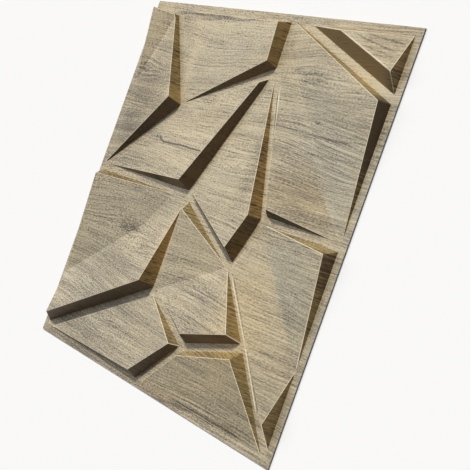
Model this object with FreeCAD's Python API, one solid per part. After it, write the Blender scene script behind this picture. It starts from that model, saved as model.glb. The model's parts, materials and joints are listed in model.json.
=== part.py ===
"""Wall panel tile: one thin moulded sheet with eleven raised, tilted facets parted by flat channels.

Frame: X across the tile, Y up the tile as it hangs on a wall, Z out of its decorated face.
The tile lies on its back: Z is 0 on the back of the flat sheet, X and Y are 0 at the middle.
All sizes are millimetres.
"""

import os

import FreeCAD
import Part

os.makedirs("parts", exist_ok=True)

# Whole tile
tile_width = 500.0
tile_length = 500.0
sheet_thickness = 1.5
border_width = 10.0

# Relief: the channel floors are level with the border, and the side walls lean inwards as they rise.
channel_width = 10.0
relief_height = 20.0
wall_slope = 0.54
edge_radius = 1.0
# The rounding takes no more than this share of a facet's shortest edge
edge_share = 0.4

# How far the cutting blocks reach past the tile
reach = 2.0 * (tile_width + tile_length)

# Places where channels meet, as shares of the field inside the border, from its lower left corner.
SPOTS = {
    "lower_left": (0.0, 0.0),
    "lower_right": (1.0, 0.0),
    "upper_right": (1.0, 1.0),
    "upper_left": (0.0, 1.0),
    "top_a": (0.102, 1.0),
    "top_b": (0.595, 1.0),
    "top_c": (0.636, 1.0),
    "right_a": (1.0, 0.849),
    "right_b": (1.0, 0.497),
    "bottom_a": (0.487, 0.0),
    "left_a": (0.0, 0.5),
    "fork_a": (0.269, 0.727),
    "fork_b": (0.599, 0.869),
    "fork_c": (0.424, 0.5),
    "fork_d": (0.735, 0.5),
    "fork_e": (0.682, 0.36),
    "fork_f": (0.824, 0.199),
    "fork_g": (0.613, 0.132),
    "fork_h": (0.426, 0.229),
    # The two upper corners of the top left facet, whose upper wall isn't parallel to the border
    "corner_a": (0.0, 1.008),
    "corner_b": (0.1063, 0.993),
}

# Each facet: the spots round it, anticlockwise, its top planes, and the walls that don't lean by wall_slope.
# A plane is given by its height at three spots, as a share of relief_height above the face of the sheet.
# A share below zero is under that face. A facet with two planes follows the higher one and has a crease.
# A wall with None is left out, because the walls on both sides of it meet first.
FACETS = {
    "top_left": (
        ["left_a", "fork_a", "corner_b", "corner_a"],
        [
            {"upper_left": 0.9, "top_a": 0.4, "left_a": -1.08},
            {"left_a": 0.06, "fork_a": 1.0, "top_a": 0.28},
        ],
        {"left_a-fork_a": 0.63, "fork_a-corner_b": 0.35, "corner_b-corner_a": 0.15, "corner_a-left_a": 0.25},
    ),
    "top_middle": (
        ["fork_a", "fork_b", "top_b", "top_a"],
        [{"fork_a": 0.02, "fork_b": 0.69, "top_b": 0.82}],
        {"top_b-top_a": 0.35},
    ),
    "left_middle": (
        ["left_a", "fork_c", "fork_b", "fork_a"],
        [{"left_a": 0.02, "fork_c": 0.98, "fork_b": 0.35}],
        {},
    ),
    "centre": (
        ["fork_c", "fork_e", "fork_d", "fork_b"],
        [{"fork_c": 0.22, "fork_e": 0.92, "fork_b": -0.03}],
        {"fork_c-fork_e": 0.69},
    ),
    "right_upper": (
        ["fork_b", "fork_d", "right_b", "right_a", "top_c", "top_b"],
        [
            {"fork_b": 0.03, "fork_d": 0.88, "right_b": -0.05},
            {"right_a": 0.77, "right_b": -0.02, "top_c": 0.21},
        ],
        {"fork_b-fork_d": 0.67, "right_a-top_c": 0.28, "top_c-top_b": None},
    ),
    "corner": (
        ["top_c", "right_a", "upper_right"],
        [{"top_c": 0.94, "right_a": 0.99, "upper_right": 0.03}],
        {"top_c-right_a": 1.37, "right_a-upper_right": 0.43, "upper_right-top_c": 0.45},
    ),
    "right_lower": (
        ["fork_e", "fork_f", "lower_right", "right_b", "fork_d"],
        [
            {"fork_e": 0.706, "lower_right": 0.946, "right_b": -1.38},
            {"fork_d": 0.0, "right_b": 0.81, "lower_right": -0.565},
        ],
        {"fork_e-fork_f": 0.57, "fork_f-lower_right": 0.69},
    ),
    "left_lower": (
        ["left_a", "lower_left", "fork_h", "fork_c"],
        [
            {"left_a": 0.96, "fork_c": -0.13, "lower_left": -0.07},
            {"lower_left": 0.99, "fork_h": 1.11, "fork_c": -0.14},
        ],
        {"lower_left-fork_h": 0.39, "fork_c-left_a": 0.47},
    ),
    "centre_lower": (
        ["fork_c", "fork_h", "fork_g", "fork_f", "fork_e"],
        [
            {"fork_c": 0.75, "fork_h": 0.38, "fork_e": -0.06},
            {"fork_g": 0.94, "fork_f": 0.84, "fork_h": 0.34},
        ],
        {},
    ),
    "bottom_left": (
        ["lower_left", "bottom_a", "fork_g", "fork_h"],
        [{"lower_left": 0.07, "bottom_a": 0.79, "fork_g": 0.56}],
        {},
    ),
    "bottom_right": (
        ["bottom_a", "lower_right", "fork_f", "fork_g"],
        [{"lower_right": 0.05, "fork_f": 0.94, "fork_g": 0.63}],
        {"fork_f-fork_g": 0.67},
    ),
}


def spot(name):
    """Place of a named spot on the face of the sheet."""
    u, v = SPOTS[name]
    field_width = tile_width - 2.0 * border_width
    field_length = tile_length - 2.0 * border_width
    return FreeCAD.Vector((u - 0.5) * field_width, (v - 0.5) * field_length, sheet_thickness)


def on_border(first, second):
    """True if the run between two spots lies along the border of the field."""
    a, b = SPOTS[first], SPOTS[second]
    return any(a[i] == b[i] and a[i] in (0.0, 1.0) for i in (0, 1))


def block_beyond(point, normal):
    """A block that fills everything on the far side of the plane through point, the way normal points."""
    block = Part.makeBox(reach, reach, reach, FreeCAD.Vector(-reach / 2.0, -reach / 2.0, 0.0))
    turn = FreeCAD.Rotation(FreeCAD.Vector(0, 0, 1), normal)
    block.Placement = FreeCAD.Placement(point, turn)
    return block


def wall_block(first, second, slope, inset):
    """The space outside one leaning side wall, with the wall moved inwards by inset."""
    a, b = spot(first), spot(second)
    along = (b - a).normalize()
    inwards = FreeCAD.Vector(-along.y, along.x, 0.0)
    foot = a
    if not on_border(first, second):
        foot = foot + inwards * (channel_width / 2.0)
    outwards = FreeCAD.Vector(-inwards.x, -inwards.y, slope).normalize()
    return block_beyond(foot - outwards * inset, outwards)


def top_block(heights, inset):
    """The space above the tilted plane that has the given heights at three spots, lowered by inset."""
    corners = [spot(name) + FreeCAD.Vector(0, 0, share * relief_height) for name, share in heights.items()]
    upwards = (corners[1] - corners[0]).cross(corners[2] - corners[0]).normalize()
    if upwards.z < 0.0:
        upwards = upwards * -1.0
    return block_beyond(corners[0] - upwards * inset, upwards)


def rounded(body):
    """The body with every edge rounded but those of its level bottom face."""
    low = body.BoundBox.ZMin + edge_radius
    edges = [edge for edge in body.Edges if edge.BoundBox.ZMax > low]
    radius = min(edge_radius, edge_share * min(edge.Length for edge in edges))
    return body.makeFillet(radius, edges)


def facet_body(name, heights, inset, bottom):
    """What lies under one plane of a facet, moved inwards by inset and cut off level at the bottom."""
    ring, _, slopes = FACETS[name]
    deep = 2.0 * relief_height
    wide, long = tile_width + 4.0 * deep, tile_length + 4.0 * deep
    body = Part.makeBox(wide, long, 2.0 * deep, FreeCAD.Vector(-wide / 2.0, -long / 2.0, -deep))
    for first, second in zip(ring, ring[1:] + ring[:1]):
        slope = slopes.get(first + "-" + second, wall_slope)
        if slope is not None:
            body = body.cut(wall_block(first, second, slope, inset))
    body = body.cut(top_block(heights, inset))
    if inset == 0.0:
        body = rounded(body.Solids[0])
    return body.cut(block_beyond(FreeCAD.Vector(0, 0, bottom), FreeCAD.Vector(0, 0, -1)))


def facet_bodies(inset, bottom):
    """The bodies under all planes of all facets."""
    return [facet_body(name, heights, inset, bottom) for name in FACETS for heights in FACETS[name][1]]


def wall_tile():
    """The sheet with its raised facets, hollow behind so that the wall is equally thick all over."""
    corner = FreeCAD.Vector(-tile_width / 2.0, -tile_length / 2.0, 0.0)
    sheet = Part.makeBox(tile_width, tile_length, sheet_thickness, corner)
    outside = sheet.fuse(facet_bodies(0.0, 0.0))
    return outside.cut(facet_bodies(sheet_thickness, -sheet_thickness)).removeSplitter()


shape = wall_tile()
solids = shape.Solids
print("solids", len(solids), "valid", shape.isValid(), "volume", round(shape.Volume))
print("box", shape.BoundBox)
solids[0].exportStep("parts/wall_tile.step")
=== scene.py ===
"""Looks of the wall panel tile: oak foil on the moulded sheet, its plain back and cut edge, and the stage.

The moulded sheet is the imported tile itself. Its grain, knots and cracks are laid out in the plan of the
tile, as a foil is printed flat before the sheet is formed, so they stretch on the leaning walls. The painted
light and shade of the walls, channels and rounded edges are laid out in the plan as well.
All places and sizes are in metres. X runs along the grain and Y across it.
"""

import json
import math

import bpy
import numpy as np
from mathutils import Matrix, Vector

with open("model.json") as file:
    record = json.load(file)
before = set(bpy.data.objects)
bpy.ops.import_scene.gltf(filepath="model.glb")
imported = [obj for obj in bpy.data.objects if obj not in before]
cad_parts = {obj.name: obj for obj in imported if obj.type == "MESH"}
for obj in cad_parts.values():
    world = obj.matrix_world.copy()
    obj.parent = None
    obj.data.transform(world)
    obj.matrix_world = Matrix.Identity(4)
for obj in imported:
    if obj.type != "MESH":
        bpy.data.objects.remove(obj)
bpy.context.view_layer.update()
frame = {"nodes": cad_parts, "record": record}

bl_info = {
    "name": "Oak foil wall tile",
    "version": (1, 0, 0),
    "blender": (4, 5, 0),
    "location": "View3D > Sidebar > Wall tile",
    "description": "Dresses a moulded wall tile in oak foil and sets it on a lit white floor",
    "category": "Object",
}

TILE = "wall_tile"
FOIL = frame["record"]["materials"][0]["slot"]

# Noises of the print: length along the grain, width across it, detail, roughness and seed.
NOISES = {
    "slow_waves": (0.34, 0.12, 1.0, 0.5, 3.0),
    "quick_waves": (0.09, 0.022, 2.0, 0.5, 9.0),
    "bands": (0.26, 0.020, 2.0, 0.55, 1.0),
    "flecks": (0.0034, 0.0011, 0.0, 0.5, 8.0),
    "pores": (0.018, 0.0012, 1.0, 0.5, 4.0),
    "ring_waves": (0.16, 0.014, 2.0, 0.5, 12.0),
    "ring_fade": (0.08, 0.013, 1.0, 0.5, 13.0),
    "shake": (0.022, 0.05, 2.0, 0.5, 5.0),
    "drift": (0.10, 0.06, 2.0, 0.5, 6.0),
    "tint": (0.030, 0.0035, 2.0, 0.6, 14.0),
    "speckle": (0.004, 0.004, 3.0, 0.6, 11.0),
}

# Noises sized by the settings: length and width as shares of a streak's, detail, roughness and seed.
STREAKS = (1.0, 1.0, 2.0, 0.70, 2.0)
FIBRES = (0.2, 0.625, 1.0, 0.5, 7.0)

# How far the waves push the grain aside, and how far the long marks shake.
SLOW_PUSH = 0.060
QUICK_PUSH = 0.0032
SHAKE = 0.0035

# What each layer of the print adds to its tone, which is 0 at its darkest and 1 at its palest. The flecks
# are stronger on the left side of the tile, and change by FLECKS_LEAN per metre to the right.
MIDDLE_TONE = 0.645
BANDS_TONE = 0.70
STREAKS_TONE = 1.55
FIBRES_TONE = 0.95
FLECKS_TONE = 1.30
FLECKS_LEAN = -1.7
RINGS_TONE = -0.13
PORES_TONE = -0.22
# CHANNEL_TONE is painted light: it makes the channels between the facets paler.
CHANNEL_TONE = 0.08

# Contrast of the print around PIVOT_TONE: how much bolder it is on the walls than on the tops.
PIVOT_TONE = 0.55
STEEP_BOLDER = 0.15
# The print is made fainter on the walls that face away from the key lamp and on the slanted wall, as part of
# their painted shade.
LOWER_BOLDER = -0.7
SLANT_BOLDER = -1.0

# What makes the print greyer, or warmer below zero.
DRIFT_GREYER = 1.3
TINT_GREYER = 0.5
# CHANNEL_GREYER is painted light: below zero it makes the channels between the facets warmer.
CHANNEL_GREYER = -0.20

# Ramps over a noise, or over a wave: where it begins, where it is full, and its top if that isn't 1.
PORE_RAMP = (0.60, 0.70)
RING_CREST = (0.1, 1.0)
RING_FADE = (0.38, 0.60)
KNOT_CORE = (0.80, 1.0, 0.30)
SPECKLE_RAMP = (0.3, 0.7, 0.25)

# How much the noise of ring_waves bends the growth lines, in radians of their wave.
RING_BEND = 9.0

# Ramps over a stripe: its start and end over the share of its length along X, and its fall over the
# distance from its line in half widths.
STRIPE_START = (-0.05, 0.12)
STRIPE_END = (1.05, 0.88)
STRIPE_FALL = (2.0, 0.4)

# How far to each side of a crease the painted light and shade change.
CREASE_LIGHT_HALF = 0.0008

# Ramps over the direction of the surface. Its unit normal has the part up along Z and north along Y. The
# slanted wall and the rounded edges lie between two ramps.
STEEP = (0.93, 0.84)
WALL = (0.70, 0.60)
# The walls that face the lower side, away from the key lamp, get painted shade; the walls that face the upper
# side, towards it, get a painted colour of their light.
FACES_LOWER_SIDE = (-0.20, -0.42)
FACES_UPPER_SIDE = (0.30, 0.60)
# The wide slanted wall, which gets painted shade.
SLANT_FROM = (0.785, 0.80)
SLANT_TO = (0.835, 0.82)
# The rounded edges, which get a painted highlight with some wear.
EDGE_FROM = (0.60, 0.63)
EDGE_TO = (0.957, 0.948)
LEVEL = (0.9985, 0.9995)
FRONT = (0.02, 0.06)

# Ramps over the place: the face of the flat sheet over Z, and the field inside the border over X and Y.
SHEET_FACE = (0.00165, 0.00155)
FIELD = (0.242, 0.238)

# The low tip of the corner facet, where the rounded edges get less of their painted highlight and wear: ramps
# over X and Y, and the loss.
TIP_LEFT = (0.2325, 0.2345)
TIP_UPPER = (0.1950, 0.1925)
TIP_LOWER = (0.1600, 0.1680)
TIP_HIGHLIGHT_LOSS = -0.75

# Rounded edges, with some wear and a painted highlight: share of their own cream colour, share of the level
# normal that makes them catch the light, and that normal.
WEAR_AND_HIGHLIGHT_COLOUR = 0.95
HIGHLIGHT_NORMAL_SHARE = 0.85
LEVEL_NORMAL = (-0.05, 0.15, 1.0)

# How dark the speckles of the bare sheet are, as a share of its colour.
SPECKLE_COLOUR = 0.7

# Relief of the grain: height of each layer, and the strength and depth of the bump in pore depths.
STREAKS_HEIGHT = 0.7
FIBRES_HEIGHT = 0.6
PORES_HEIGHT = -0.8
BUMP_STRENGTH = 0.55
BUMP_DEPTH = 2.0

# Roughness of the foil, what pores and streaks add to it, and the strength of its shine.
ROUGHNESS = 0.46
PORES_ROUGHNESS = 0.15
STREAKS_ROUGHNESS = 0.12
SHINE = 0.42

# Knots of the print: place, reach along and across the grain, and how far the grain is pushed aside.
KNOTS = (
    (-0.136, 0.061, 0.030, 0.012, 0.55),  # left middle facet, where the crack starts
    (0.046, 0.052, 0.018, 0.008, 0.50),  # centre facet
    (-0.130, -0.066, 0.070, 0.026, 0.62),  # left lower facet
    (-0.060, 0.126, 0.060, 0.022, 0.50),  # left middle facet, upper side
    (0.120, 0.176, 0.075, 0.020, 0.55),  # right upper facet, upper side
    (0.145, 0.125, 0.010, 0.005, 0.45),  # right upper facet, a small one
    (-0.222, 0.150, 0.030, 0.018, 0.60),  # top left facet
)

# Paler, darker, greyer and warmer areas: place, reach, how much paler and how much greyer. They are partly
# the tone of the print and partly painted light, shade and sheen, as noted on the rows.
AREAS = (
    (0.000, 0.225, 0.170, 0.050, 0.16, -0.10),  # top middle facet
    (-0.200, 0.100, 0.060, 0.110, -0.34, -0.45),  # top left facet
    (-0.100, -0.200, 0.090, 0.040, -0.15, 0.00),  # bottom left facet
    (0.200, -0.110, 0.060, 0.070, -0.07, 0.10),  # right lower facet
    (-0.210, 0.062, 0.030, 0.030, -0.15, 0.00),  # top left facet, low tip
    (-0.170, -0.2465, 0.090, 0.005, -0.34, 0.10),  # border, lower left
    (-0.135, -0.128, 0.060, 0.045, -0.18, 0.10),  # left lower facet, painted shade over its lower wall
    (0.040, -0.243, 0.060, 0.007, -0.16, -0.90),  # border, lower middle
    (0.110, -0.215, 0.130, 0.045, -0.14, 0.15),  # bottom right facet
    (0.190, -0.224, 0.050, 0.030, -0.16, 0.10),  # bottom right facet, tip
    (0.077, -0.123, 0.040, 0.030, -0.12, 0.10),  # centre lower facet
    (0.170, 0.110, 0.070, 0.070, -0.08, 0.45),  # right upper facet, grey of a painted sheen
    (0.200, -0.060, 0.045, 0.050, -0.07, 0.30),  # right lower facet, upper right, grey of a painted sheen
    (-0.160, -0.160, 0.080, 0.050, -0.03, 0.45),  # left lower facet, lower left, grey of a painted sheen
    (0.140, -0.130, 0.045, 0.060, 0.06, -1.10),  # right lower facet, warm left side, painted warm light
    (0.145, 0.036, 0.045, 0.035, -0.20, -1.00),  # right upper facet, warm lower left, painted warm light
    (0.215, 0.225, 0.030, 0.030, -0.14, -0.80),  # corner facet, painted warm light
    (-0.060, 0.060, 0.110, 0.060, 0.05, -0.05),  # left middle facet
    (0.025, 0.053, 0.050, 0.050, 0.06, 0.00),  # centre facet
    (-0.094, 0.157, 0.060, 0.030, 0.09, 0.00),  # top middle facet, low side
    (0.000, 0.246, 0.200, 0.006, -0.10, 0.00),  # border, upper side
    (-0.228, 0.205, 0.024, 0.050, 0.36, 0.00),  # top left facet, left edge
    (0.186, 0.186, 0.028, 0.028, 0.12, -0.30),  # channel along the corner facet, painted light
    (-0.190, -0.220, 0.060, 0.020, -0.16, 0.20),  # bottom left facet, tip
    (-0.125, 0.150, 0.012, 0.060, 0.25, -0.20),  # channel between the top left and top middle facets, painted light
    (-0.040, -0.080, 0.012, 0.040, 0.30, -0.20),  # channel between the left lower and centre lower facets, painted light
    (0.075, 0.060, 0.012, 0.060, -0.22, 0.00),  # centre facet, right side
    (0.050, 0.205, 0.012, 0.030, -0.18, 0.00),  # channel between the top middle and right upper facets, painted shade
)

# Painted shade, and in one place painted light, on stretches of the walls alone: place, reach and how much
# paler.
WALL_LIGHT_AND_SHADE = (
    (0.236, 0.115, 0.012, 0.060, -0.85),  # right upper facet, right wall
    (0.235, 0.150, 0.012, 0.030, -0.40),  # the same wall, upper end
    (0.238, -0.030, 0.012, 0.028, -0.55),  # right lower facet, right wall, upper end
    (0.077, -0.045, 0.012, 0.012, -0.30),  # centre facet, lower right wall
    (-0.106, 0.0108, 0.020, 0.008, -0.45),  # left middle facet, lower wall
    (0.144, 0.0104, 0.030, 0.008, -0.50),  # right upper facet, lower wall
    (0.096, -0.1535, 0.030, 0.008, 0.30),  # centre lower facet, lower right wall, painted light
)

# Creases of two facets, where the two planes get their own painted light and shade: both ends of the crease,
# place and reach of the change, and how much paler and greyer the upper right side is than the other.
CREASE_LIGHT_SIDES = (
    (0.1100, -0.0050, 0.2400, -0.1430, 0.172, -0.072, 0.070, 0.090, -0.11, 0.90),  # right lower facet
    (0.0560, 0.1700, 0.2380, 0.0020, 0.200, 0.038, 0.042, 0.050, 0.17, 1.10),  # right upper facet
)

# Long marks of the print: both ends, half width and darkness.
MARKS = (
    (-0.134, 0.0610, -0.116, 0.0555, 0.0010, 0.70),  # crack in the left middle facet, three runs
    (-0.120, 0.0562, -0.062, 0.0572, 0.0008, 1.00),
    (-0.066, 0.0574, -0.026, 0.0562, 0.0008, 1.00),
    (0.085, 0.1130, 0.222, 0.1070, 0.0010, 0.30),  # right upper facet, three long lines
    (0.122, 0.1070, 0.232, 0.1110, 0.0009, 0.25),
    (0.140, 0.0890, 0.233, 0.0900, 0.0009, 0.25),
    (-0.199, 0.2370, -0.050, 0.2360, 0.0022, 0.45),  # top middle facet, along its upper side
    (-0.140, 0.2300, 0.010, 0.2340, 0.0012, 0.40),
    (0.165, 0.2310, 0.230, 0.2165, 0.0008, 0.38),  # corner facet, three lines
    (0.178, 0.2345, 0.237, 0.2280, 0.0008, 0.40),
    (0.185, 0.2190, 0.228, 0.2110, 0.0007, 0.25),
    (0.062, -0.2400, 0.196, -0.2370, 0.0024, 0.35),  # bottom right facet, along its lower side
)

# Fine dark lines of painted shade along the feet of the walls: both ends, half width and darkness.
LINES = (
    (-0.0260, 0.0000, 0.0850, -0.0614, 0.0022, 1.00),  # centre facet, lower left wall
    (0.0600, 0.1510, 0.0850, 0.0840, 0.0006, 0.70),  # right upper facet, left wall
    (-0.0160, -0.1325, 0.0580, -0.1630, 0.0017, 0.95),  # centre lower facet, lower left wall
    (0.0950, -0.0727, 0.1550, -0.1390, 0.0006, 0.60),  # right lower facet, left wall
    (0.1550, -0.1390, 0.2080, -0.2010, 0.0006, 0.60),  # right lower facet, lower left wall
)

# Painted highlight lines, with some wear, besides the rounded edges: both ends, half width and strength.
WEAR_AND_HIGHLIGHT_LINES = (
    (0.1450, 0.2322, 0.2345, 0.1956, 0.0004, 0.80),  # corner facet, slanted edge
    (0.0930, -0.0750, 0.1530, -0.1413, 0.0007, 0.70),  # right lower facet, left edge
    (0.1530, -0.1413, 0.2060, -0.2033, 0.0007, 0.70),  # right lower facet, lower left edge
    (0.0640, 0.1520, 0.0915, 0.0830, 0.0012, 0.75),  # right upper facet, left edge
)

# Channels painted paler as painted light: both ends, half width and how much paler.
PAINTED_LIGHT_CHANNELS = (
    (0.0475, 0.1771, 0.1128, 0.0000, 0.0032, 0.10),  # between the centre and right upper facets
    (0.0720, 0.1110, 0.1128, 0.0000, 0.0032, 0.22),  # the lower end of the same
    (0.0900, 0.2300, 0.2350, 0.1700, 0.0034, 0.22),  # along the corner facet
)

# Creases that come down to the face of the sheet, where the channels get none of their painted light: both
# ends, half width and strength.
CREASES = (
    (0.0560, 0.1700, 0.2380, 0.0020, 0.0070, 1.0),  # right upper facet
    (0.1100, -0.0050, 0.2400, -0.1430, 0.0070, 1.0),  # right lower facet
    (-0.2360, -0.0900, -0.0420, 0.0000, 0.0070, 1.0),  # left lower facet
)

# Lamps: name, the setting that holds the strength, angle across in degrees, colour and the way to the lamp.
LAMPS = (
    ("key_lamp", "key", 7.0, (1.0, 0.97, 0.91), (-0.25, 0.66, 0.71)),
    ("side_lamp", "side", 40.0, (0.95, 0.98, 1.0), (-0.79, 0.12, 0.60)),
)

SKY_COLOUR = (0.97, 0.985, 1.0)
WHITE = (1.0, 1.0, 1.0)
FLOOR_ROUGHNESS = 0.9
FLOOR_SIDES = 96
SENSOR_WIDTH_MM = 36.0
VIEW_DEPTH = 50.0

# Layout of the nodes in the editor: step across, step down and how many stand under each other.
NODE_STEP = 40
NODE_DROP = 160
NODE_ROWS = 7

# Sockets of a Mix node for colours and for directions: factor, first and second, and the result.
COLOUR_SOCKETS = (0, 6, 7)
COLOUR_RESULT = 2
DIRECTION_SOCKETS = (0, 4, 5)
DIRECTION_RESULT = 1


class WallTileFoil(bpy.types.PropertyGroup):
    """Colours and sizes of the printed foil and of the sheet under it, with the colours of its painted shade
    and highlights.
    """

    pale: bpy.props.FloatVectorProperty(
        name="Pale grain", description="Colour of the early wood", subtype="COLOR",
        size=3, min=0.0, max=1.0, default=(0.60, 0.51, 0.345),
    )
    dark: bpy.props.FloatVectorProperty(
        name="Dark grain", description="Colour of the late wood and the pores", subtype="COLOR",
        size=3, min=0.0, max=1.0, default=(0.105, 0.080, 0.052),
    )
    grey: bpy.props.FloatVectorProperty(
        name="Grey areas", description="Pale colour of the grey areas", subtype="COLOR",
        size=3, min=0.0, max=1.0, default=(0.555, 0.515, 0.40),
    )
    warm: bpy.props.FloatVectorProperty(
        name="Warm areas", description="Pale colour of the warm areas", subtype="COLOR",
        size=3, min=0.0, max=1.0, default=(0.64, 0.51, 0.30),
    )
    wall: bpy.props.FloatVectorProperty(
        name="Stretched foil", description="What the stretched foil of the walls keeps of the colour",
        subtype="COLOR", size=3, min=0.0, max=1.0, default=(0.80, 0.63, 0.37),
    )
    # Painted shade: the walls that face the lower side, away from the key lamp, keep less of their colour.
    lower: bpy.props.FloatVectorProperty(
        name="Lower walls", description="What the foil of the walls that face the lower side keeps besides",
        subtype="COLOR", size=3, min=0.0, max=1.0, default=(0.66, 0.69, 1.0),
    )
    # Painted light: the colour of the light on the walls that face the upper side, towards the key lamp.
    upper: bpy.props.FloatVectorProperty(
        name="Upper walls", description="What the foil of the walls that face the upper side keeps besides",
        subtype="COLOR", size=3, min=0.0, max=1.0, default=(0.86, 0.94, 1.0),
    )
    # Painted shade on the wide slanted wall.
    slant: bpy.props.FloatVectorProperty(
        name="Slanted band", description="What the foil of the wide slanted wall keeps of the colour besides",
        subtype="COLOR", size=3, min=0.0, max=1.0, default=(0.62, 0.62, 0.62),
    )
    # Painted highlight, with some wear: the cream colour of the rounded upper edges.
    edge: bpy.props.FloatVectorProperty(
        name="Highlit and worn edges", description="Colour of the rounded upper edges", subtype="COLOR",
        size=3, min=0.0, max=1.0, default=(0.88, 0.79, 0.60),
    )
    core: bpy.props.FloatVectorProperty(
        name="Bare sheet", description="Colour of the cut edge and the back", subtype="COLOR",
        size=3, min=0.0, max=1.0, default=(0.20, 0.225, 0.235),
    )
    streak_width: bpy.props.FloatProperty(
        name="Streak width", description="Width of one fine streak of the grain", unit="LENGTH",
        min=0.0005, default=0.0017, precision=4,
    )
    streak_length: bpy.props.FloatProperty(
        name="Streak length", description="Length of one fine streak of the grain", unit="LENGTH",
        min=0.001, default=0.150, precision=4,
    )
    ring_width: bpy.props.FloatProperty(
        name="Ring width", description="Distance from one growth line to the next", unit="LENGTH",
        min=0.001, default=0.0048, precision=4,
    )
    relief: bpy.props.FloatProperty(
        name="Pore depth", description="Depth of the embossed grain", unit="LENGTH",
        min=0.0, default=0.00012, precision=5,
    )


class WallTileStage(bpy.types.PropertyGroup):
    """Sizes and strengths of the floor, the lamps and the camera."""

    floor_radius: bpy.props.FloatProperty(
        name="Floor radius", description="Radius of the round floor", unit="LENGTH", min=1.0, default=9.0,
    )
    floor_gap: bpy.props.FloatProperty(
        name="Floor gap", description="How far the floor lies under the back of the tile", unit="LENGTH",
        min=0.0, default=0.0002, precision=5,
    )
    floor_colour: bpy.props.FloatVectorProperty(
        name="Floor", description="Colour of the floor", subtype="COLOR",
        size=3, min=0.0, max=1.0, default=(0.970, 0.975, 0.995),
    )
    key: bpy.props.FloatProperty(
        name="Key lamp", description="Strength of the lamp over the top side", min=0.0, default=2.90,
    )
    side: bpy.props.FloatProperty(
        name="Side lamp", description="Strength of the wide lamp at the left side", min=0.0, default=1.15,
    )
    sky: bpy.props.FloatProperty(
        name="Sky", description="Strength of the even light all round", min=0.0, default=0.12,
    )
    eye: bpy.props.FloatVectorProperty(
        name="Camera place", description="Where the camera stands", subtype="TRANSLATION", unit="LENGTH",
        size=3, default=(0.97327, -0.01331, 0.80038),
    )
    turn: bpy.props.FloatVectorProperty(
        name="Camera turn", description="How the camera is turned", subtype="EULER", unit="ROTATION",
        size=3, default=(math.radians(20.8011), math.radians(44.7355), math.radians(28.3268)),
    )
    lens: bpy.props.FloatProperty(
        name="Lens", description="Focal length of the camera", unit="CAMERA", min=10.0, default=77.011,
    )
    shift: bpy.props.FloatVectorProperty(
        name="Shift", description="Shift of the picture, in picture widths", size=2,
        default=(-0.00894, -0.02489),
    )


class Net:
    """Shader nodes of one material or sky, added and linked one after the other."""

    def __init__(self, owner):
        owner.use_nodes = True
        self.tree = owner.node_tree
        self.tree.nodes.clear()
        self.count = 0

    def add(self, kind, **settings):
        """A new node of that kind, with its settings."""
        node = self.tree.nodes.new(kind)
        node.location = (self.count * NODE_STEP, -(self.count % NODE_ROWS) * NODE_DROP)
        self.count += 1
        for name, value in settings.items():
            setattr(node, name, value)
        return node

    def put(self, socket, value):
        """Gives a socket a value or a link. A colour is given without its alpha."""
        if isinstance(value, bpy.types.NodeSocket):
            self.tree.links.new(value, socket)
        elif hasattr(socket.default_value, "__len__") and len(socket.default_value) == 4:
            socket.default_value = (*value, 1.0)
        else:
            socket.default_value = value

    def fill(self, node, values):
        """Gives several sockets of a node their values or links, each by its name or number."""
        for name, value in values.items():
            self.put(node.inputs[name], value)

    def math(self, operation, *values, clamp=False):
        """The result of one operation on values or sockets."""
        node = self.add("ShaderNodeMath", operation=operation, use_clamp=clamp)
        self.fill(node, dict(enumerate(values)))
        return node.outputs[0]

    def chain(self, operation, *values):
        """One operation carried through all values, as in their sum or their product."""
        found = values[0]
        for value in values[1:]:
            found = self.math(operation, found, value)
        return found

    def swing(self, value, amount):
        """A value from 0 to 1 brought around zero: (value - 0.5) * amount."""
        return self.math("MULTIPLY", self.math("SUBTRACT", value, 0.5), amount)

    def ramp(self, value, low, high, top=1.0):
        """Goes smoothly from 0 to top as value goes from low to high."""
        node = self.add("ShaderNodeMapRange", interpolation_type="SMOOTHSTEP")
        self.fill(node, {"Value": value, "From Min": low, "From Max": high, "To Max": top})
        return node.outputs["Result"]

    def blend(self, factor, first, second, how="MIX"):
        """Two colours mixed by factor."""
        node = self.add("ShaderNodeMix", data_type="RGBA", blend_type=how)
        self.fill(node, dict(zip(COLOUR_SOCKETS, (factor, first, second))))
        return node.outputs[COLOUR_RESULT]

    def lean(self, factor, first, second):
        """A direction between two others, by factor, as a unit vector."""
        node = self.add("ShaderNodeMix", data_type="VECTOR")
        self.fill(node, dict(zip(DIRECTION_SOCKETS, (factor, first, second))))
        unit = self.add("ShaderNodeVectorMath", operation="NORMALIZE")
        self.put(unit.inputs[0], node.outputs[DIRECTION_RESULT])
        return unit.outputs[0]

    def split(self, vector):
        """The three parts of a vector."""
        node = self.add("ShaderNodeSeparateXYZ")
        self.put(node.inputs[0], vector)
        return tuple(node.outputs)

    def join(self, *parts):
        """The vector of three parts."""
        node = self.add("ShaderNodeCombineXYZ")
        self.fill(node, dict(enumerate(parts)))
        return node.outputs[0]

    def noise(self, x, y, along, across, detail, rough, seed):
        """Noise with features that are long by along and wide by across, from 0 to 1."""
        node = self.add("ShaderNodeTexNoise", noise_dimensions="3D")
        place = self.join(self.math("DIVIDE", x, along), self.math("DIVIDE", y, across), seed)
        self.fill(node, {"Vector": place, "Scale": 1.0, "Detail": detail, "Roughness": rough})
        return node.outputs["Fac"]


def bell(net, x, y, place_x, place_y, reach_x, reach_y):
    """A bell of exp(-distance^2), with the distance from its place measured in reaches."""
    off_x = net.math("DIVIDE", net.math("SUBTRACT", x, place_x), reach_x)
    off_y = net.math("DIVIDE", net.math("SUBTRACT", y, place_y), reach_y)
    square = net.math("MULTIPLY_ADD", off_x, off_x, net.math("MULTIPLY", off_y, off_y))
    return net.math("EXPONENT", net.math("MULTIPLY", square, -1.0))


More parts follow.
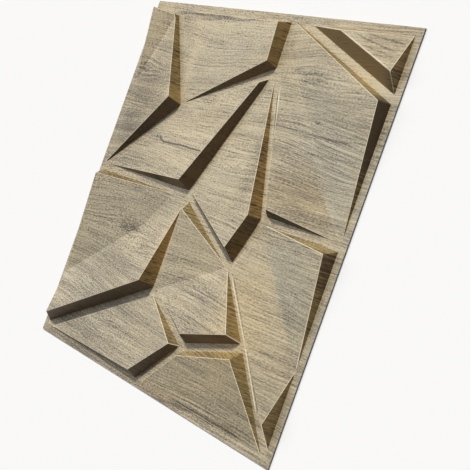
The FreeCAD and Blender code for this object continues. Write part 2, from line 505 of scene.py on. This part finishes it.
def wander(net, x, y):
    """How far across the grain each point of the print has wandered, and how near each knot is.

    Across = y + two waves of noise - for each knot, its push * (y - knot) * its bell.
    """
    slow = net.swing(net.noise(x, y, *NOISES["slow_waves"]), SLOW_PUSH)
    quick = net.swing(net.noise(x, y, *NOISES["quick_waves"]), QUICK_PUSH)
    across = net.chain("ADD", y, slow, quick)
    nearness = []
    for *spot, push in KNOTS:
        near = bell(net, x, y, *spot)
        aside = net.math("MULTIPLY", near, net.math("SUBTRACT", y, spot[1]))
        across = net.math("MULTIPLY_ADD", aside, -push, across)
        nearness.append(near)
    return across, nearness


def ring_lines(net, x, across, width):
    """Thin growth lines from 0 to 1, fading in and out.

    They are the crests of sin(2 pi across / width + waves of noise), times a slower noise.
    """
    waves = net.noise(x, across, *NOISES["ring_waves"])
    bend = net.math("MULTIPLY", waves, RING_BEND)
    phase = net.math("MULTIPLY_ADD", across, 2.0 * math.pi / width, bend)
    fade = net.ramp(net.noise(x, across, *NOISES["ring_fade"]), *RING_FADE)
    return net.math("MULTIPLY", net.ramp(net.math("SINE", phase), *RING_CREST), fade)


def areas(net, x, y):
    """How much paler and how much greyer the colour is at each point, partly tone of the print and partly
    painted light, shade and sheen.

    The sum of a bell for each area, and for each crease a bell times -0.5 on one side and 0.5 on the other,
    which paints the light and shade of its two planes.
    """
    paler = greyer = 0.0
    for *spot, pale, grey in AREAS:
        share = bell(net, x, y, *spot)
        paler = net.math("MULTIPLY_ADD", share, pale, paler)
        greyer = net.math("MULTIPLY_ADD", share, grey, greyer)
    for x0, y0, x1, y1, *spot, pale, grey in CREASE_LIGHT_SIDES:
        line = net.math("MULTIPLY_ADD", net.math("SUBTRACT", x, x0), (y1 - y0) / (x1 - x0), y0)
        past = net.ramp(net.math("SUBTRACT", y, line), -CREASE_LIGHT_HALF, CREASE_LIGHT_HALF)
        change = net.swing(past, bell(net, x, y, *spot))
        paler = net.math("MULTIPLY_ADD", change, pale, paler)
        greyer = net.math("MULTIPLY_ADD", change, grey, greyer)
    return paler, greyer


def stripes(net, x, y, rows):
    """The sum of straight stripes.

    Each is full near its line, gone at twice its half width from it, and fades in and out at its ends.
    """
    found = 0.0
    for x0, y0, x1, y1, half, strength in rows:
        share = net.math("DIVIDE", net.math("SUBTRACT", x, x0), x1 - x0)
        line = net.math("MULTIPLY_ADD", share, y1 - y0, y0)
        lean = abs(x1 - x0) / math.hypot(x1 - x0, y1 - y0)
        off = net.math("MULTIPLY", net.math("ABSOLUTE", net.math("SUBTRACT", y, line)), lean)
        ends = net.math("MULTIPLY", net.ramp(share, *STRIPE_START), net.ramp(share, *STRIPE_END))
        side = net.ramp(off, *(fall * half for fall in STRIPE_FALL), strength)
        found = net.math("MULTIPLY_ADD", side, ends, found)
    return found


def relief_parts(net, place, facing):
    """Where the parts of the relief are, by name, each from 0 to 1.

    They are products of ramps over the place and the direction of the surface. The channels carry painted
    light, the lower walls and the slanted wall painted shade, the upper walls a painted colour of their
    light, and the rounded edges a painted highlight with some wear.
    """
    x, y, z = place
    _, north, up = facing
    wall = net.ramp(up, *WALL)
    slanted = net.math("MULTIPLY", net.ramp(up, *SLANT_FROM), net.ramp(up, *SLANT_TO))

    face = net.math("MULTIPLY", net.ramp(z, *SHEET_FACE), net.ramp(up, *LEVEL))
    inside = [net.ramp(net.math("ABSOLUTE", side), *FIELD) for side in (x, y)]
    no_crease = net.math("SUBTRACT", 1.0, stripes(net, x, y, CREASES), clamp=True)

    # The rounded edges that get the painted highlight and wear, without the slanted wall and less at the low
    # tip.
    edge = net.math("MULTIPLY", net.ramp(up, *EDGE_FROM), net.ramp(up, *EDGE_TO))
    edge = net.math("SUBTRACT", edge, slanted, clamp=True)
    tip = net.chain("MULTIPLY", net.ramp(x, *TIP_LEFT), net.ramp(y, *TIP_UPPER), net.ramp(y, *TIP_LOWER))
    edge = net.math("MULTIPLY", edge, net.math("MULTIPLY_ADD", tip, TIP_HIGHLIGHT_LOSS, 1.0))
    return {
        "steep": net.ramp(up, *STEEP),
        "lower": net.math("MULTIPLY", wall, net.ramp(north, *FACES_LOWER_SIDE)),
        "upper": net.math("MULTIPLY", wall, net.ramp(north, *FACES_UPPER_SIDE)),
        "slanted": slanted,
        "face": face,
        "channel": net.chain("MULTIPLY", face, *inside, no_crease),
        "wear_and_highlight": net.math("MAXIMUM", edge, stripes(net, x, y, WEAR_AND_HIGHLIGHT_LINES)),
        "front": net.ramp(up, *FRONT),
    }


class OakPrint:
    """The oak print of the foil with its painted light and shade, one layer after the other over the plan of
    the tile.
    """

    def __init__(self, net, foil, place, facing):
        self.net = net
        self.foil = foil
        self.x, self.y, _ = place
        self.parts = relief_parts(net, place, facing)
        self.across, self.nearness = wander(net, self.x, self.y)
        self.streaks = self.streaky(*STREAKS)
        self.fibres = self.streaky(*FIBRES)
        self.pores = net.ramp(self.grain("pores"), *PORE_RAMP)

    def grain(self, name):
        """A noise that follows the wandering grain."""
        return self.net.noise(self.x, self.across, *NOISES[name])

    def cloud(self, name):
        """A noise that stays straight on the plan of the tile."""
        return self.net.noise(self.x, self.y, *NOISES[name])

    def streaky(self, long, wide, detail, rough, seed):
        """A noise of the grain whose length and width are shares of a streak's."""
        length, width = long * self.foil.streak_length, wide * self.foil.streak_width
        return self.net.noise(self.x, self.across, length, width, detail, rough, seed)

    def tone(self, paler):
        """How pale the colour is at each point, from 0 to 1.

        The middle tone plus all layers of the grain and the areas, bolder or fainter on the walls around the
        pivot tone, and fainter on the walls in painted shade. Then the painted light and shade of the walls'
        own stretches, the painted light of the channels, the pores, knots and marks, and the painted shade of
        the lines at the feet of the walls are added or taken away.
        """
        net, x, y, parts = self.net, self.x, self.y, self.parts
        rings = ring_lines(net, x, self.across, self.foil.ring_width)
        tone = net.chain(
            "ADD",
            net.swing(self.grain("bands"), BANDS_TONE),
            net.swing(self.streaks, STREAKS_TONE),
            net.swing(self.fibres, FIBRES_TONE),
            net.swing(self.grain("flecks"), net.math("MULTIPLY_ADD", x, FLECKS_LEAN, FLECKS_TONE)),
            net.math("MULTIPLY", rings, RINGS_TONE),
            paler,
            MIDDLE_TONE,
        )
        bolder = 1.0
        for name, more in (("steep", STEEP_BOLDER), ("lower", LOWER_BOLDER), ("slanted", SLANT_BOLDER)):
            bolder = net.math("MULTIPLY_ADD", parts[name], more, bolder)
        tone = net.math("MULTIPLY_ADD", net.math("SUBTRACT", tone, PIVOT_TONE), bolder, PIVOT_TONE)
        # Painted shade, and in one place painted light, on stretches of the walls.
        for *spot, pale in WALL_LIGHT_AND_SHADE:
            on_wall = net.math("MULTIPLY", bell(net, x, y, *spot), parts["steep"])
            tone = net.math("MULTIPLY_ADD", on_wall, pale, tone)
        tone = net.math("MULTIPLY_ADD", self.pores, PORES_TONE, tone)
        for near in self.nearness:
            tone = net.math("SUBTRACT", tone, net.ramp(near, *KNOT_CORE))
        shaken = net.math("ADD", y, net.swing(self.cloud("shake"), SHAKE))
        tone = net.math("SUBTRACT", tone, stripes(net, x, shaken, MARKS))
        # Painted light: the channels between the facets are made paler.
        tone = net.math("MULTIPLY_ADD", parts["channel"], CHANNEL_TONE, tone)
        tone = net.math("MULTIPLY_ADD", stripes(net, x, y, PAINTED_LIGHT_CHANNELS), parts["face"], tone)
        # Painted shade: dark lines along the feet of the walls.
        return net.math("SUBTRACT", tone, stripes(net, x, y, LINES), clamp=True)

    def colour(self):
        """The colour of the foil: dark to pale by its tone, grey or warm by area, darker on the stretched
        walls, with painted shade on the lower walls and the slanted wall, a painted colour of the light on
        the upper walls and a painted highlight with some wear on the rounded edges.
        """
        net, foil, parts = self.net, self.foil, self.parts
        paler, greyer = areas(net, self.x, self.y)
        greyer = net.chain(
            "ADD",
            greyer,
            net.swing(self.cloud("drift"), DRIFT_GREYER),
            net.swing(self.grain("tint"), TINT_GREYER),
            # Painted light: the channels between the facets are made warmer.
            net.math("MULTIPLY", parts["channel"], CHANNEL_GREYER),
        )
        light = net.blend(net.math("MULTIPLY", greyer, 1.0, clamp=True), foil.pale, foil.grey)
        light = net.blend(net.math("MULTIPLY", greyer, -1.0, clamp=True), light, foil.warm)
        colour = net.blend(self.tone(paler), foil.dark, light)
        # The stretched walls keep less of the colour. On top of that the lower walls and the slanted wall get
        # painted shade, and the upper walls a painted colour of their light.
        walls = {"steep": foil.wall, "lower": foil.lower, "upper": foil.upper, "slanted": foil.slant}
        for name, kept in walls.items():
            colour = net.blend(parts[name], colour, kept, "MULTIPLY")
        # Painted highlight, with some wear, on the rounded edges.
        return net.blend(net.math("MULTIPLY", parts["wear_and_highlight"], WEAR_AND_HIGHLIGHT_COLOUR), colour, foil.edge)

    def bare(self):
        """The colour of the sheet where no foil covers it, with faint darker speckles."""
        core = self.foil.core
        speckle = self.net.ramp(self.cloud("speckle"), *SPECKLE_RAMP)
        return self.net.blend(speckle, core, tuple(SPECKLE_COLOUR * part for part in core))

    def roughness(self):
        """Pores and streaks are a little duller than the rest."""
        rough = self.net.math("MULTIPLY_ADD", self.pores, PORES_ROUGHNESS, ROUGHNESS)
        return self.net.math("MULTIPLY_ADD", self.streaks, STREAKS_ROUGHNESS, rough)

    def normal(self):
        """The embossed grain, and on the rounded edges a painted highlight: a nearly level direction that
        takes the light evenly.
        """
        net = self.net
        height = net.chain(
            "ADD",
            net.math("MULTIPLY", self.streaks, STREAKS_HEIGHT),
            net.math("MULTIPLY", self.fibres, FIBRES_HEIGHT),
            net.math("MULTIPLY", self.pores, PORES_HEIGHT),
        )
        bump = net.add("ShaderNodeBump")
        depth = BUMP_DEPTH * self.foil.relief
        net.fill(bump, {"Strength": BUMP_STRENGTH, "Distance": depth, "Height": height})
        # Painted highlight: the rounded edges lean towards a nearly level normal, turned a little towards the
        # key lamp.
        highlight_share = net.math("MULTIPLY", self.parts["wear_and_highlight"], HIGHLIGHT_NORMAL_SHARE)
        return net.lean(highlight_share, bump.outputs[0], net.join(*LEVEL_NORMAL))


def oak_foil(foil):
    """The material of the moulded sheet: oak foil on what faces out, bare sheet on the edge and back."""
    material = bpy.data.materials.new(FOIL)
    net = Net(material)
    place = net.split(net.add("ShaderNodeTexCoord").outputs["Object"])
    facing = net.split(net.add("ShaderNodeNewGeometry").outputs["True Normal"])
    oak = OakPrint(net, foil, place, facing)
    shader = net.add("ShaderNodeBsdfPrincipled")
    net.fill(shader, {
        "Base Color": net.blend(oak.parts["front"], oak.bare(), oak.colour()),
        "Roughness": oak.roughness(),
        "Specular IOR Level": SHINE,
        "Normal": oak.normal(),
    })
    net.put(net.add("ShaderNodeOutputMaterial").inputs["Surface"], shader.outputs[0])
    return material


class WALLTILE_OT_dress(bpy.types.Operator):
    """Gives the moulded sheet its oak foil"""

    bl_idname = "walltile.dress"
    bl_label = "Dress the tile"

    def execute(self, context):
        tile = frame["nodes"].get(TILE)
        if tile is None:
            raise RuntimeError("The packed model has no wall tile")
        foil = oak_foil(context.scene.wall_tile_foil)
        for slot in tile.material_slots:
            slot.material = foil
        return {"FINISHED"}


def disc(name, radius, sides):
    """A flat round mesh: a fan of triangles from the middle to points at (radius cos a, radius sin a)."""
    angle = np.linspace(0.0, 2.0 * math.pi, sides, endpoint=False)
    rim = np.stack([radius * np.cos(angle), radius * np.sin(angle), np.zeros(sides)], axis=1)
    points = np.vstack([np.zeros((1, 3)), rim])
    first = np.arange(1, sides + 1)
    faces = np.stack([np.zeros(sides, int), first, np.roll(first, -1)], axis=1)
    mesh = bpy.data.meshes.new(name)
    mesh.from_pydata(points.tolist(), [], faces.tolist())
    mesh.update()
    return mesh


def floor_paint(colour):
    """A matt material without shine, for the floor."""
    paint = bpy.data.materials.new("floor_paint")
    net = Net(paint)
    shader = net.add("ShaderNodeBsdfPrincipled")
    net.fill(shader, {"Base Color": colour, "Roughness": FLOOR_ROUGHNESS, "Specular IOR Level": 0.0})
    net.put(net.add("ShaderNodeOutputMaterial").inputs["Surface"], shader.outputs[0])
    return paint


def lamp_towards(name, strength, angle, colour, direction):
    """A far lamp whose light comes from that direction."""
    light = bpy.data.lights.new(name, "SUN")
    light.energy = strength
    light.angle = math.radians(angle)
    light.color = colour
    lamp = bpy.data.objects.new(name, light)
    lamp.rotation_euler = Vector(direction).to_track_quat("Z", "Y").to_euler()
    return lamp


def studio_sky(strength):
    """Even soft light all round, which the camera itself sees as plain white."""
    world = bpy.data.worlds.new("studio")
    net = Net(world)
    even = net.add("ShaderNodeBackground")
    net.fill(even, {"Color": SKY_COLOUR, "Strength": strength})
    white = net.add("ShaderNodeBackground")
    net.fill(white, {"Color": WHITE, "Strength": 1.0})
    seen = net.add("ShaderNodeLightPath").outputs["Is Camera Ray"]
    choose = net.add("ShaderNodeMixShader")
    net.fill(choose, {0: seen, 1: even.outputs[0], 2: white.outputs[0]})
    net.put(net.add("ShaderNodeOutputWorld").inputs["Surface"], choose.outputs[0])
    return world


def camera_of(stage):
    """The camera, with its place, turn, lens and shift from the settings."""
    eye = bpy.data.cameras.new("camera")
    eye.sensor_fit = "HORIZONTAL"
    eye.sensor_width = SENSOR_WIDTH_MM
    eye.lens = stage.lens
    eye.shift_x, eye.shift_y = stage.shift
    eye.clip_end = VIEW_DEPTH
    camera = bpy.data.objects.new("camera", eye)
    camera.location = stage.eye
    camera.rotation_euler = stage.turn
    return camera


class WALLTILE_OT_stage(bpy.types.Operator):
    """Sets up the floor, the lamps, the sky and the camera"""

    bl_idname = "walltile.stage"
    bl_label = "Set the stage"

    def execute(self, context):
        scene = context.scene
        stage = scene.wall_tile_stage
        floor = bpy.data.objects.new("floor", disc("floor", stage.floor_radius, FLOOR_SIDES))
        floor.location.z = -stage.floor_gap
        floor.data.materials.append(floor_paint(stage.floor_colour))
        scene.collection.objects.link(floor)
        for name, setting, angle, colour, direction in LAMPS:
            lamp = lamp_towards(name, getattr(stage, setting), angle, colour, direction)
            scene.collection.objects.link(lamp)
        scene.world = studio_sky(stage.sky)
        scene.camera = camera_of(stage)
        scene.collection.objects.link(scene.camera)
        scene.view_settings.view_transform = "Standard"
        return {"FINISHED"}


class WALLTILE_PT_panel(bpy.types.Panel):
    """Sidebar panel of the wall tile"""

    bl_label = "Wall tile"
    bl_idname = "WALLTILE_PT_panel"
    bl_space_type = "VIEW_3D"
    bl_region_type = "UI"
    bl_category = "Wall tile"

    def draw(self, context):
        for group in (context.scene.wall_tile_foil, context.scene.wall_tile_stage):
            box = self.layout.box()
            for name in group.__annotations__:
                box.prop(group, name)
        for operator in OPERATORS:
            self.layout.operator(operator.bl_idname)


OPERATORS = (WALLTILE_OT_dress, WALLTILE_OT_stage)
CLASSES = (WallTileFoil, WallTileStage, *OPERATORS, WALLTILE_PT_panel)


def register():
    """Adds the classes and the two groups of settings."""
    for kind in CLASSES:
        bpy.utils.register_class(kind)
    bpy.types.Scene.wall_tile_foil = bpy.props.PointerProperty(type=WallTileFoil)
    bpy.types.Scene.wall_tile_stage = bpy.props.PointerProperty(type=WallTileStage)


def unregister():
    """Takes the classes and the two groups of settings away."""
    del bpy.types.Scene.wall_tile_stage
    del bpy.types.Scene.wall_tile_foil
    for kind in reversed(CLASSES):
        bpy.utils.unregister_class(kind)


def main():
    """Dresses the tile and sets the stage."""
    register()
    bpy.ops.walltile.dress()
    bpy.ops.walltile.stage()


if __name__ == "__main__":
    main()
